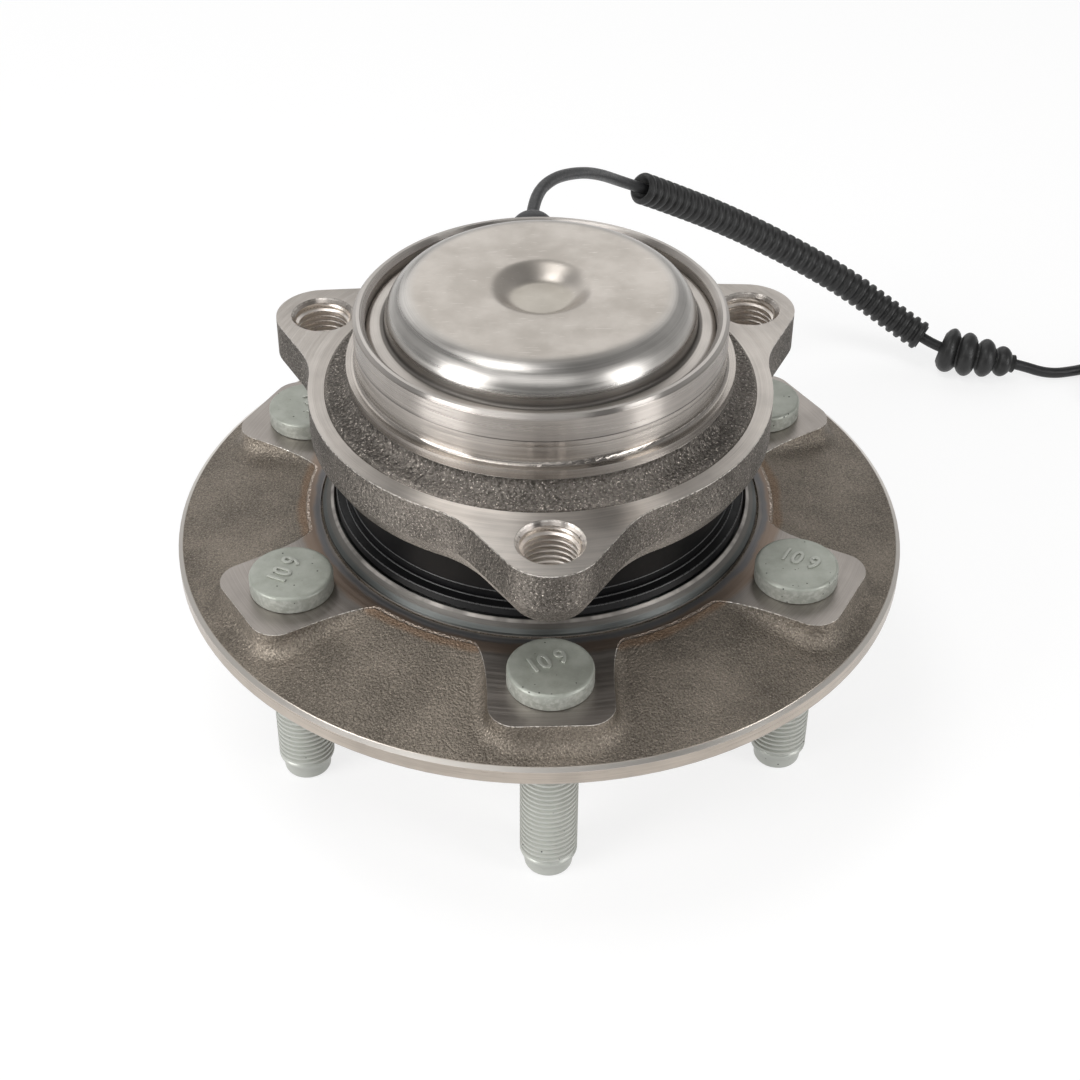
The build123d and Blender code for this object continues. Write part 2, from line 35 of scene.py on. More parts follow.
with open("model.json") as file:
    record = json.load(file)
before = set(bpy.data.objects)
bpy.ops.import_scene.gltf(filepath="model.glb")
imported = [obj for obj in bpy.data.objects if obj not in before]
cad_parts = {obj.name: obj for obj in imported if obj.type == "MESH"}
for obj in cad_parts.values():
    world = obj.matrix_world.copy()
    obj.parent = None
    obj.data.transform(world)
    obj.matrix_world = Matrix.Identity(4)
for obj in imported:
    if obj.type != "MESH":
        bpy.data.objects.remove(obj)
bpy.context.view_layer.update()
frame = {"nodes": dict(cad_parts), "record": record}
nodes = frame["nodes"]
MM = 0.001

# Heights and radii of the main faces, in millimetres. wheel_face and knuckle_face are above the
# floor, and the other heights above the wheel face. From rim_top on they are the CAD's own.
mounts = {mount["name"]: mount for mount in frame["record"]["mounts"]}
wheel_face = mounts["wheel_face"]["pos_m"][2] / MM
knuckle_face = mounts["knuckle_face"]["pos_m"][2] / MM
stud_radius = mounts["wheel_studs"]["dims"]["stud_r_mm"]
ear_circle = mounts["knuckle_bolts"]["dims"]["pcd_mm"]
ear_bore = mounts["knuckle_bolts"]["dims"]["hole_r_mm"]
spigot_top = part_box("outer_ring")[1].z / MM - wheel_face
cap_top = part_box("end_cap")[1].z / MM - wheel_face
face_height = knuckle_face - wheel_face
rim_top = 4.45
rim_radius = 90.4
land_height = 11.0
land_radius = 58.1
shoulder_radius = 54.9
shoulder_top = 11.2
shoulder_band = 12.5
shoulder_ridge = (13.3, 13.8)
pilot_inside = 31.75
spindle_foot = 16.5
spindle_radius = 34.25
groove_top = 51.0
groove_radius = 52.45
spigot_inside = 38.25
spigot_foot = 50.8
spigot_step = 59.6
spigot_bore = 42.1
bore_top = 59.5
hole_floor = 30.1
chamfer_radius = 8.0

# Light levels of the world in front, behind and overhead, the floor's colour, its own glow where it
# is looked at, and how far it reaches, in metres
ambient_front = 0.16
ambient_back = 0.44
ambient_over = 0.6
floor_color = 0.28
floor_glow = 0.76
floor_reach = 30.0

# The lead: its size and the points of its route, as offsets from the wheel face
cable_diameter = 3.4
conduit_diameter = 9.8
conduit_pitch = 3.0
lead_route = [
    (0.0, 68.6, 51.4),
    (1.1, 80.7, 51.6),
    (6.5, 94.6, 49.5),
    (14.3, 108.0, 44.0),
    (21.2, 120.0, 37.0),
    (29.0, 133.6, 27.0),
    (42.1, 142.6, 17.5),
    (69.0, 153.9, 0.0),
    (103.3, 157.8, -22.0),
    (125.5, 149.3, -36.0),
    (136.5, 142.9, -41.0),
    (150.3, 137.5, -41.2),
    (161.7, 137.9, -44.2),
    (171.5, 135.8, -46.7),
    (181.0, 137.4, -46.7),
    (188.5, 140.2, -46.7),
]


def collection_link(piece):
    """Puts a new object in the scene."""
    bpy.context.scene.collection.objects.link(piece)
    return piece


def smooth_step(share):
    """Eased share from 0 to 1."""
    share = min(max(share, 0.0), 1.0)
    return share * share * (3 - 2 * share)


def mesh_piece(name, vertices, faces):
    """A mesh object from vertices in millimetres."""
    mesh = bpy.data.meshes.new(name)
    mesh.from_pydata([tuple(c * MM for c in vertex) for vertex in vertices], [], faces)
    mesh.validate()
    for polygon in mesh.polygons:
        polygon.use_smooth = True
    return collection_link(bpy.data.objects.new(name, mesh))


class Finish:
    """A material under construction, with short calls for the nodes that it uses."""

    def __init__(self, name, color=(0.5, 0.5, 0.5), rough=0.5, metal=0.0):
        self.material = bpy.data.materials.new(name)
        self.material.use_nodes = True
        self.tree = self.material.node_tree
        self.surface = self.tree.nodes["Principled BSDF"]
        self.set("Base Color", (*color, 1))
        self.set("Roughness", rough)
        self.set("Metallic", metal)
        coordinates = self.tree.nodes.new("ShaderNodeTexCoord")
        self.place = self.node("VectorMath", {0: coordinates.outputs["Object"], "Scale": 1 / MM},
                               operation="SCALE").outputs[0]

    def set(self, name, value):
        """Feeds one input of the surface."""
        self.feed(self.surface.inputs[name], value)

    def feed(self, socket, value):
        """Gives a socket a link or a value."""
        if isinstance(value, bpy.types.NodeSocket):
            self.tree.links.new(value, socket)
        else:
            socket.default_value = value

    def node(self, kind, inputs, **settings):
        """A shader node with its settings and inputs."""
        node = self.tree.nodes.new("ShaderNode" + kind)
        for key, value in settings.items():
            setattr(node, key, value)
        for key, value in inputs.items():
            self.feed(node.inputs[key], value)
        return node

    def math(self, operation, a, b=0.0):
        """One sum of two values."""
        return self.node("Math", {0: a, 1: b}, operation=operation).outputs[0]

    def axes(self):
        """The place's x, y and z, in millimetres."""
        return self.node("SeparateXYZ", {0: self.place}).outputs

    def flat(self, place):
        """A place with its height taken out."""
        return self.node("VectorMath", {0: place, 1: (1, 1, 0)}, operation="MULTIPLY").outputs[0]

    def radius(self, centre=None):
        """Distance from the spin axis, or from an upright axis through a centre, in millimetres."""
        place = self.place
        if centre:
            place = self.node("VectorMath", {0: place, 1: centre}, operation="SUBTRACT").outputs[0]
        return self.node("VectorMath", {0: self.flat(place)}, operation="LENGTH").outputs["Value"]

    def polar(self, wander, radius_scale=1.0):
        """A place that is the same all round the axis, for turning marks, with a little drift."""
        x, _, z = self.axes()
        along = self.math("MULTIPLY", self.radius(), radius_scale)
        drift = self.math("MULTIPLY", x, wander)
        return self.node("CombineXYZ", {0: along, 1: drift, 2: z}).outputs[0]

    def noise(self, scale, place=None, detail=3.0, rough=0.55):
        """Noise with so many features to the millimetre."""
        inputs = {"Vector": place or self.place, "Scale": scale, "Detail": detail, "Roughness": rough}
        return self.node("TexNoise", inputs).outputs[0]

    def cells(self, scale, feature="F1"):
        """Distance field of scattered cells."""
        inputs = {"Vector": self.place, "Scale": scale}
        return self.node("TexVoronoi", inputs, feature=feature).outputs["Distance"]

    def rise(self, value, low, high, bottom=0.0, top=1.0):
        """Eased map of a value between two levels."""
        inputs = {"Value": value, "From Min": low, "From Max": high, "To Min": bottom, "To Max": top}
        return self.node("MapRange", inputs, interpolation_type="SMOOTHSTEP").outputs[0]

    def between(self, value, low, high, edge=0.15):
        """1 between two levels and 0 outside them."""
        up = self.rise(value, low - edge, low + edge)
        down = self.rise(value, high - edge, high + edge, 1.0, 0.0)
        return self.math("MULTIPLY", up, down)

    def mix(self, share, a, b):
        """Blend of two colours."""
        node = self.node("Mix", {0: share}, data_type="RGBA")
        first_color, second_color, result = 6, 7, 2
        for index, value in ((first_color, a), (second_color, b)):
            linked = isinstance(value, bpy.types.NodeSocket)
            self.feed(node.inputs[index], value if linked else (*value, 1))
        return node.outputs[result]

    def blend(self, share, a, b):
        """Blend of two values."""
        return self.node("Mix", {0: share, 2: a, 3: b}, data_type="FLOAT").outputs[0]

    def bump(self, height, depth):
        """Adds relief of so many millimetres."""
        inputs = {"Height": height, "Distance": depth * MM, "Strength": 1.0}
        self.set("Normal", self.node("Bump", inputs).outputs[0])

    def up_facing(self):
        """1 where the surface faces up, 0 on walls and below 0 underneath."""
        normal = self.tree.nodes.new("ShaderNodeTexCoord").outputs["Normal"]
        return self.node("SeparateXYZ", {0: normal}).outputs[2]

    def height(self):
        """Height above the wheel face, in millimetres."""
        return self.math("SUBTRACT", self.axes()[2], wheel_face)

    def angle_place(self, spread):
        """A place that changes only with the angle round the axis."""
        unit = self.node("VectorMath", {0: self.flat(self.place)}, operation="NORMALIZE").outputs[0]
        return self.node("VectorMath", {0: unit, "Scale": spread}, operation="SCALE").outputs[0]

    def both(self, *shares):
        """Product of several masks."""
        product = shares[0]
        for share in shares[1:]:
            product = self.math("MULTIPLY", product, share)
        return product

    def lay(self, share, under, over):
        """Blend of two looks, each a colour, a roughness and a relief height in millimetres."""
        return (self.mix(share, under[0], over[0]), self.blend(share, under[1], over[1]),
                self.blend(share, under[2], over[2]))

    def wear(self, look):
        """Gives the surface a look."""
        self.set("Base Color", look[0])
        self.set("Roughness", look[1])
        self.bump(look[2], 1.0)

    def spun(self, amount):
        """Stretches highlights across the turning marks."""
        self.set("Anisotropic", amount)
        self.set("Anisotropic Rotation", 0.25)
        tangent = self.node("Tangent", {}, direction_type="RADIAL", axis="Z")
        self.set("Tangent", tangent.outputs[0])


def scaled(color, share):
    """A colour made lighter or darker."""
    return tuple(min(1.0, c * share) for c in color)


def forged_look(finish, color, grain=1.0, sparkle=0.5, depth=1.0):
    """Shot-blasted forging: leathery grain, cloudy tone and bright flecks."""
    cloud = finish.noise(0.06, detail=2)
    grain_noise = finish.noise(1.9 / grain, detail=3, rough=0.6)
    pits = finish.cells(1.25 / grain, feature="SMOOTH_F1")
    tone = finish.math("MULTIPLY_ADD", grain_noise, 0.62)
    finish.feed(tone.node.inputs[2], finish.math("MULTIPLY", cloud, 0.38))
    tint = finish.mix(finish.rise(tone, 0.34, 0.66), scaled(color, 0.55), scaled(color, 1.35))
    fleck = finish.rise(finish.noise(2.6 / grain, detail=2), 0.60, 0.70, 0.0, sparkle)
    tint = finish.mix(fleck, tint, scaled(color, 3.2))
    rough = finish.blend(fleck, finish.rise(grain_noise, 0.3, 0.7, 0.58, 0.42), 0.3)
    relief = finish.math("MULTIPLY_ADD", grain_noise, 0.085 * grain * depth)
    finish.feed(relief.node.inputs[2], finish.math("MULTIPLY", pits, 0.07 * grain * depth))
    return tint, rough, relief


def machined_look(finish, color, rough, marks=1.0, lines=7.0):
    """Turned steel: fine concentric marks, so many to the millimetre, with a little cloudiness."""
    fine = finish.noise(lines, finish.polar(0.015), detail=2)
    coarse = finish.noise(1.1, finish.polar(0.01), detail=3)
    cloud = finish.noise(0.09, detail=2)
    tone = finish.blend(0.5, fine, coarse)
    tone = finish.blend(0.35, tone, cloud)
    tint = finish.mix(finish.rise(tone, 0.36, 0.64), scaled(color, 0.82), scaled(color, 1.12))
    roughness = finish.rise(coarse, 0.3, 0.7, rough - 0.05, rough + 0.07)
    relief = finish.math("MULTIPLY", fine, 0.012 * marks)
    return tint, roughness, relief


def even_look(color, rough):
    """A plain patch that is laid over others in small areas."""
    return color, rough, 0.0


def dress(piece, finish):
    """Gives a piece one finish all over."""
    piece.data.materials.clear()
    piece.data.materials.append(finish.material)


def dress_node(name, finish):
    """Gives a CAD node one finish, in each of its slots."""
    for slot in nodes[name].material_slots:
        slot.material = finish.material


def plain_plastic(name, color, rough, grain=6.0, depth=0.01):
    """Moulded plastic or rubber with a fine grain."""
    finish = Finish(name, color, rough)
    tone = finish.noise(0.35)
    finish.set("Base Color", finish.mix(tone, scaled(color, 0.6), scaled(color, 1.5)))
    finish.set("Roughness", finish.rise(finish.noise(1.5), 0.3, 0.7, rough - 0.08, rough + 0.1))
    finish.bump(finish.noise(grain), depth)
    return finish


# The camera
def place_camera():
    """Camera at the photograph's viewing angle."""
    eye = Vector((-15.807, -403.825, 319.406 + wheel_face)) * MM
    down_tilt = math.radians(38.66)
    heading = math.radians(-2.263)
    roll = math.radians(0.43)
    data = bpy.data.cameras.new("photo_view")
    data.sensor_width = 36.0
    data.lens = 66.75
    camera = collection_link(bpy.data.objects.new("photo_view", data))
    turn = Matrix.Rotation(heading, 4, "Z") @ Matrix.Rotation(math.pi / 2 - down_tilt, 4, "X")
    camera.matrix_world = Matrix.Translation(eye) @ turn @ Matrix.Rotation(roll, 4, "Z")
    bpy.context.scene.camera = camera
    bpy.context.scene.view_settings.view_transform = "Standard"


# Floor, world and lamps
def seen_as_white(finish):
    """1 for the rays that look at the background: from the camera, a reflection or clear matter."""
    paths = finish.tree.nodes.new("ShaderNodeLightPath").outputs
    share = paths["Is Camera Ray"]
    for name in ("Is Glossy Ray", "Is Transmission Ray"):
        share = finish.math("MAXIMUM", share, paths[name])
    return share


def build_floor():
    """Plain pale floor that looks white and keeps a faint shadow."""
    mesh = bpy.data.meshes.new("floor")
    half = floor_reach
    corners = [(-half, -half, 0), (half, -half, 0), (half, half, 0), (-half, half, 0)]
    mesh.from_pydata(corners, [], [(0, 1, 2, 3)])
    floor = collection_link(bpy.data.objects.new("floor", mesh))
    finish = Finish("floor_finish", (floor_color, floor_color, floor_color), 0.9)
    finish.set("Specular IOR Level", 0.0)
    mesh.materials.append(finish.material)
    glow = finish.math("MULTIPLY", seen_as_white(finish), floor_glow)
    finish.set("Emission Color", (1, 1, 1, 1))
    finish.set("Emission Strength", glow)


def build_world():
    """Soft studio light: bright behind the object, and darker in front of it and overhead."""
    world = bpy.data.worlds.new("studio")
    bpy.context.scene.world = world
    world.use_nodes = True
    tree = world.node_tree
    background = tree.nodes["Background"]
    background.inputs["Color"].default_value = (1.0, 1.0, 1.0, 1)
    direction = tree.nodes.new("ShaderNodeSeparateXYZ")
    tree.links.new(tree.nodes.new("ShaderNodeTexCoord").outputs["Generated"], direction.inputs[0])
    levels = []
    for axis, ends, level in ((1, (-0.55, 0.45), (ambient_front, ambient_back)),
                              (2, (0.55, 0.95), (1.0, ambient_over))):
        span = tree.nodes.new("ShaderNodeMapRange")
        span.interpolation_type = "SMOOTHSTEP"
        for key, value in zip(("From Min", "From Max", "To Min", "To Max"), (*ends, *level)):
            span.inputs[key].default_value = value
        tree.links.new(direction.outputs[axis], span.inputs["Value"])
        levels.append(span.outputs[0])
    strength = tree.nodes.new("ShaderNodeMath")
    strength.operation = "MULTIPLY"
    for level, socket in zip(levels, strength.inputs):
        tree.links.new(level, socket)
    seen = tree.nodes.new("ShaderNodeMath")
    seen.operation = "MAXIMUM"
    tree.links.new(strength.outputs[0], seen.inputs[0])
    tree.links.new(tree.nodes.new("ShaderNodeLightPath").outputs["Is Camera Ray"], seen.inputs[1])
    tree.links.new(seen.outputs[0], background.inputs["Strength"])


def add_lamp(name, place, target, size, watts):
    """Rectangular softbox that looks at a target."""
    data = bpy.data.lights.new(name, "AREA")
    data.shape = "RECTANGLE"
    data.size, data.size_y = size
    data.energy = watts
    lamp = collection_link(bpy.data.objects.new(name, data))
    lamp.visible_camera = False
    aim = Vector(target) - Vector(place)
    lamp.matrix_world = Matrix.Translation(place) @ aim.to_track_quat("-Z", "Y").to_matrix().to_4x4()


def build_lights():
    """Softboxes at the left, right and front, one overhead and a wide one behind."""
    centre = (0.0, 0.0, 0.07)
    add_lamp("left", (-0.84, -0.54, 0.40), centre, (0.50, 0.8), 8.0)
    add_lamp("right", (0.84, -0.50, 0.38), centre, (0.32, 0.8), 4.5)
    add_lamp("front", (-0.1, -0.85, 1.0), centre, (1.2, 0.5), 2.8)
    add_lamp("over", (-0.25, -0.02, 1.0), centre, (0.35, 0.35), 2.0)
    add_lamp("back", (-0.12, 1.05, 0.85), centre, (1.6, 0.9), 3.8)


# The lead
def curve_piece(name, points, radius):
    """A cord as one smooth NURBS curve through given control points, in millimetres."""
    data = bpy.data.curves.new(name, "CURVE")
    data.dimensions = "3D"
    data.resolution_u = 24
    data.bevel_depth = radius * MM
    data.bevel_resolution = 6
    data.use_fill_caps = True
    spline = data.splines.new("NURBS")
    spline.points.add(len(points) - 1)
    for point, place in zip(spline.points, points):
        point.co = (*(c * MM for c in place), 1)
    spline.use_endpoint_u = True
    spline.order_u = 3
    return collection_link(bpy.data.objects.new(name, data))


def coil_points():
    """The wound turns: an outer and an inner one side by side, and one on top of them."""
    low, high = (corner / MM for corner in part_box("cable_coil"))
    centre = (low + high) / 2
    outer = (high.x - low.x) / 2 - cable_diameter / 2
    inner = outer - cable_diameter
    middle = (outer + inner) / 2
    lift = cable_diameter * math.sqrt(3) / 2
    start = math.radians(112)
    turns = 2 + start / math.tau
    steps = 36
    points = []
    for i in range(1, steps + 1):
        turn = turns * i / steps
        radius = outer + (inner - outer) * smooth_step((turn - 0.6) / 0.3)
        radius += (middle - inner) * smooth_step((turn - 1.4) / 0.3)
        radius += (outer - middle) * smooth_step((turn - 1.9) / 0.4)
        height = cable_diameter / 2 + lift * smooth_step((turn - 1.4) / 0.3)
        angle = start - math.tau * turn
        x, y = centre.x + radius * math.cos(angle), centre.y + radius * math.sin(angle)
        points.append((x, y, height))
    return points


def build_lead():
    """The cable from the sensor to the plug, and the pieces that sit on it."""
    route = [(x, y, z + wheel_face) for x, y, z in lead_route]
    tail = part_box("cable_tail")
    tail_x = (tail[0].x + tail[1].x) / 2 / MM
    plug_z = mounts["sensor_plug"]["pos_m"][2] / MM
    last_stretch = [(tail_x, tail[1].y / MM, plug_z), (tail_x, tail[0].y / MM, plug_z)]
    points = route + coil_points() + last_stretch
    cable = curve_piece("lead", points, cable_diameter / 2)
    dress(cable, plain_plastic("cable_jacket", (0.018, 0.018, 0.019), 0.42))
    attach(cable, "knuckle_side")
    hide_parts("cable", "cable_coil", "cable_tail")
    return cable, route


def line_of(cable):
    """Points along a curve's own centre line, in millimetres."""
    data = cable.data.copy()
    data.bevel_depth = 0.0
    probe = bpy.data.objects.new("probe", data)
    mesh = bpy.data.meshes.new_from_object(probe)
    line = [vertex.co / MM for vertex in mesh.vertices]
    bpy.data.objects.remove(probe)
    bpy.data.curves.remove(data)
    bpy.data.meshes.remove(mesh)
    return line


def even_line(line, step):
    """The same line with points at even steps."""
    points = [line[0].copy()]
    spare = 0.0
    for a, b in zip(line, line[1:]):
        run = (b - a).length
        along = step - spare
        while along <= run:
            points.append(a.lerp(b, along / run))
            along += step
        spare = run - (along - step)
    return points


def tube_along(name, line, profile, sides=32, step=0.25):
    """A hollow or solid tube whose radius follows a profile of (distance, radius) along a line."""
    points = even_line(line, step)
    normal = (points[1] - points[0]).orthogonal().normalized()
    rings = []
    frames = []
    for i, point in enumerate(points):
        ahead = points[min(i + 1, len(points) - 1)] - points[max(i - 1, 0)]
        ahead.normalize()
        normal = (normal - ahead * normal.dot(ahead)).normalized()
        frames.append((point, normal.copy(), ahead.cross(normal)))
    vertices = []
    for distance, radius in profile:
        index = min(max(distance / step, 0), len(points) - 1.001)
        low = int(index)
        share = index - low
        point = frames[low][0].lerp(frames[low + 1][0], share)
        side, up = frames[low][1], frames[low][2]
        rings.append(len(vertices))
        for k in range(sides):
            angle = math.tau * k / sides
            vertices.append(point + (side * math.cos(angle) + up * math.sin(angle)) * radius)
    faces = []
    for a, b in zip(rings, rings[1:]):
        for k in range(sides):
            n = (k + 1) % sides
            faces.append((a + k, a + n, b + n, b + k))
    faces.append(tuple(reversed(range(sides))))
    faces.append(tuple(rings[-1] + k for k in range(sides)))
    return mesh_piece(name, vertices, faces)


def nearest(line, place):
    """The index of a line's point that lies nearest to a place."""
    return min(range(len(line)), key=lambda i: (line[i] - place).length)


def line_length(line):
    """Length along a line."""
    return sum((b - a).length for a, b in zip(line, line[1:]))


def build_conduit(line, route):
    """Corrugated conduit, open at both ends."""
    start = (Vector(route[5]) + Vector(route[6])) / 2
    end = (Vector(route[9]) + Vector(route[10])) / 2
    part = line[nearest(line, start):nearest(line, end) + 1]
    length = line_length(part)
    crest = conduit_diameter / 2
    shoulder = crest - 0.22
    groove = crest - 1.0
    bore = crest - 1.5
    inside = 6.0
    ribs = round(length / conduit_pitch)
    pitch = length / ribs
    rib = ((0.12, groove), (0.24, shoulder), (0.34, crest),
           (0.66, crest), (0.76, shoulder), (0.88, groove))
    profile = [(inside, cable_diameter / 2), (inside, bore), (0.0, bore), (0.0, groove)]
    for i in range(ribs):
        profile += [((i + share) * pitch, radius) for share, radius in rib]
    profile += [(length, groove), (length, bore)]
    profile += [(length - inside, bore), (length - inside, cable_diameter / 2)]
    conduit = tube_along("conduit_ribbed", part, profile)
    dress(conduit, plain_plastic("conduit_plastic", (0.013, 0.013, 0.013), 0.45))
    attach(conduit, "knuckle_side")
    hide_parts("conduit")
    return conduit


def build_grommet(line, route):
    """Rubber bellows that shrink towards the far side."""
    humps = (7.4, 7.2, 6.3, 5.0)
    pitch = 5.8
    hump_steps = 8
    part = line[nearest(line, Vector(route[10])):]
    profile = [(1.2, cable_diameter / 2), (1.2, humps[0] - 3.0), (0.0, humps[0] - 2.4)]
    for i, hump in enumerate(humps):
        valley = hump - 2.3
        for k in range(hump_steps + 1):
            share = k / hump_steps
            swell = math.sin(math.pi * share) ** 0.7
            profile.append(((i + 0.02 + 0.96 * share) * pitch, valley + (hump - valley) * swell))
    end = len(humps) * pitch
    profile += [(end + 1.2, 3.0), (end + 1.4, cable_diameter / 2)]
    grommet = tube_along("bellows_grommet", part, profile, sides=40)
    dress(grommet, plain_plastic("grommet_rubber", (0.015, 0.015, 0.015), 0.42))
    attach(grommet, "knuckle_side")
    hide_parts("cable_grommet")
    return grommet


# Finishes of steel and rubber
forged_grey = (0.150, 0.128, 0.108)
turned_grey = (0.47, 0.43, 0.395)
hole_angles = [math.radians(-90 + 120 * number) for number in range(3)]


def hub_finish():
    """Hub: forging, faced land and pads, turned rim, heat-tinted shoulder ring, painted edge and ridge
    highlights.
    """
    finish = Finish("hub_steel", forged_grey, 0.5, 0.9)
    radius = finish.radius()
    height = finish.height()
    look = forged_look(finish, (0.226, 0.196, 0.162), 0.85, 0.45, 3.2)
    turned = machined_look(finish, turned_grey, 0.34)
    faced = machined_look(finish, (0.34, 0.31, 0.285), 0.36, 0.6)
    # Painted highlight: a bright line on the land's edge, partly a real burr, and a bright band on the
    # rim's chamfer
    edge_highlight = even_look((0.72, 0.68, 0.63), 0.28)
    rough_edge = finish.rise(finish.noise(1.3), 0.35, 0.6, 0.25, 1.0)
    edge = finish.between(height, land_height - 0.2, land_height + 0.05, 0.05)
    burr_highlight = finish.both(edge, rough_edge, finish.rise(radius, land_radius - 1.5, land_radius - 1.0))
    look = finish.lay(burr_highlight, look, edge_highlight)
    top = finish.both(finish.between(height, land_height - 0.03, land_height + 0.3, 0.02),
                      finish.rise(radius, shoulder_radius - 0.4, shoulder_radius - 0.2))
    look = finish.lay(top, look, faced)
    rim = finish.both(finish.rise(radius, rim_radius - 0.2, rim_radius + 0.1),
                      finish.rise(height, rim_top + 0.15, rim_top - 0.15))
    look = finish.lay(rim, look, machined_look(finish, (0.47, 0.415, 0.36), 0.30))
    # Painted highlight: the rim's chamfer is made bright all round
    chamfer = finish.both(rim, finish.between(height, rim_top - 1.0, rim_top - 0.3, 0.1))
    look = finish.lay(chamfer, look, edge_highlight)
    ring = finish.both(finish.between(radius, spindle_radius - 1.25, shoulder_radius, 0.1),
                       finish.rise(height, shoulder_top - 0.15, shoulder_top + 0.1))
    look = finish.lay(ring, look, machined_look(finish, (0.115, 0.122, 0.118), 0.36))
    band = finish.both(ring, finish.rise(height, shoulder_band - 0.2, shoulder_band + 0.2))
    look = finish.lay(band, look, machined_look(finish, (0.175, 0.165, 0.152), 0.38, 2.0))
    # Painted highlight: broken bright streaks along the shoulder ring's ridge
    ridge_highlight_noise = finish.rise(finish.noise(1.4, finish.angle_place(5.0)), 0.35, 0.65, 0.15, 0.9)
    ridge_highlight = finish.both(ring, finish.between(height, *shoulder_ridge, 0.1), ridge_highlight_noise)
    look = finish.lay(ridge_highlight, look, even_look((0.60, 0.56, 0.52), 0.38))
    below = finish.rise(height, 0.25, 0.1)
    pilot = finish.both(below, finish.rise(radius, pilot_inside - 0.25, pilot_inside + 0.25))
    look = finish.lay(pilot, look, turned)
    spindle = finish.both(finish.rise(height, spindle_foot - 0.5, spindle_foot + 0.5),
                          finish.rise(radius, spindle_radius + 0.25, spindle_radius - 0.25))
    look = finish.lay(spindle, look, turned)
    tint_noise = finish.math("MULTIPLY_ADD", finish.noise(0.08), 3.0)
    finish.feed(tint_noise.node.inputs[2], radius)
    level = finish.between(height, land_height - 2.0, land_height + 0.2, 0.3)
    warm = finish.both(finish.between(tint_noise, land_radius + 0.5, land_radius + 4.4, 0.9), level)
    cool = finish.both(finish.between(tint_noise, land_radius - 0.9, land_radius + 0.7, 0.5), level)
    color = finish.mix(finish.math("MULTIPLY", warm, 0.45), look[0], (0.30, 0.17, 0.09))
    color = finish.mix(finish.math("MULTIPLY", cool, 0.5), color, (0.12, 0.15, 0.19))
    finish.wear((color, look[1], look[2]))
    finish.spun(0.4)
    return finish


def ring_finish():
    """Outer ring: forged flanks, turned mounting face and spigot, a forged groove with painted shade,
    and a painted highlight and shade line.
    """
    finish = Finish("ring_steel", forged_grey, 0.5, 0.95)
    radius = finish.radius()
    height = finish.height()
    up = finish.up_facing()
    look = forged_look(finish, (0.178, 0.160, 0.141), 1.0, 1.0, 3.4)
    groove = finish.both(finish.between(height, face_height + 0.25, groove_top, 0.15),
                         finish.rise(radius, groove_radius + 0.15, groove_radius - 0.15))
    look = finish.lay(groove, look, forged_look(finish, (0.235, 0.213, 0.190), 1.3, 1.0, 5.0))
    # Painted shade: the groove is darker towards its top, under the spigot
    shaded = finish.both(groove, finish.rise(height, groove_top - 2.8, groove_top - 0.6))
    look = finish.lay(shaded, look, forged_look(finish, (0.125, 0.113, 0.101), 1.3, 1.0, 5.0))
    face = finish.both(finish.between(height, face_height - 0.05, face_height + 0.05, 0.03), up)
    look = finish.lay(face, look, machined_look(finish, (0.62, 0.575, 0.53), 0.40, 1.3))
    reaches = []
    for angle in hole_angles:
        centre = (ear_circle / 2 * math.cos(angle), ear_circle / 2 * math.sin(angle), 0.0)
        reaches.append(finish.radius(centre))
    closest = finish.math("MINIMUM", finish.math("MINIMUM", reaches[0], reaches[1]), reaches[2])
    bored = finish.both(finish.rise(closest, chamfer_radius + 0.05, chamfer_radius),
                        finish.rise(height, hole_floor - 0.1, hole_floor + 0.1))
    look = finish.lay(bored, look, machined_look(finish, turned_grey, 0.32, 1.0))
    # Painted highlight: a bright line along the mounting face's edge, partly a real burr
    edge_highlight_noise = finish.rise(finish.noise(1.1), 0.35, 0.6, 0.1, 1.0)
    edge = finish.both(finish.between(height, face_height - 0.4, face_height - 0.05, 0.06), edge_highlight_noise)
    look = finish.lay(edge, look, even_look((0.75, 0.71, 0.66), 0.28))
    turned = machined_look(finish, (0.45, 0.415, 0.385), 0.30, 3.0, 3.2)
    spigot = finish.both(finish.rise(height, spigot_foot - 0.1, spigot_foot + 0.1),
                         finish.rise(radius, spigot_inside - 0.25, spigot_inside + 0.25))
    look = finish.lay(spigot, look, turned)
    lower = finish.both(spigot, finish.rise(height, spigot_step, spigot_step - 0.2))
    look = finish.lay(lower, look, machined_look(finish, (0.45, 0.415, 0.38), 0.20, 2.0, 2.4))
    # Painted shade: a dark line in the spigot's step
    step = finish.both(spigot, finish.between(height, spigot_step - 0.15, spigot_step + 0.15, 0.05))
    look = finish.lay(step, look, even_look((0.20, 0.185, 0.17), 0.4))
    rings = finish.noise(1.6, finish.polar(0.004, 0.0), detail=1)
    scratch = finish.both(spigot, finish.rise(rings, 0.62, 0.66),
                          finish.rise(height, spigot_step + 0.9, spigot_step + 0.4))
    look = finish.lay(finish.math("MULTIPLY", scratch, 0.6), look, even_look((0.25, 0.23, 0.21), 0.35))
    lip = finish.both(finish.rise(height, spigot_top - 0.7, spigot_top - 0.5),
                      finish.rise(radius, spigot_bore + 0.4, spigot_bore + 0.7))
    look = finish.lay(lip, look, even_look((0.50, 0.47, 0.44), 0.32))
    bore = finish.both(finish.rise(radius, spigot_bore + 0.1, spigot_bore - 0.1),
                       finish.rise(height, bore_top + 0.5, bore_top - 0.5))
    look = finish.lay(bore, look, turned)
    finish.wear(look)
    finish.spun(1.0)
    return finish


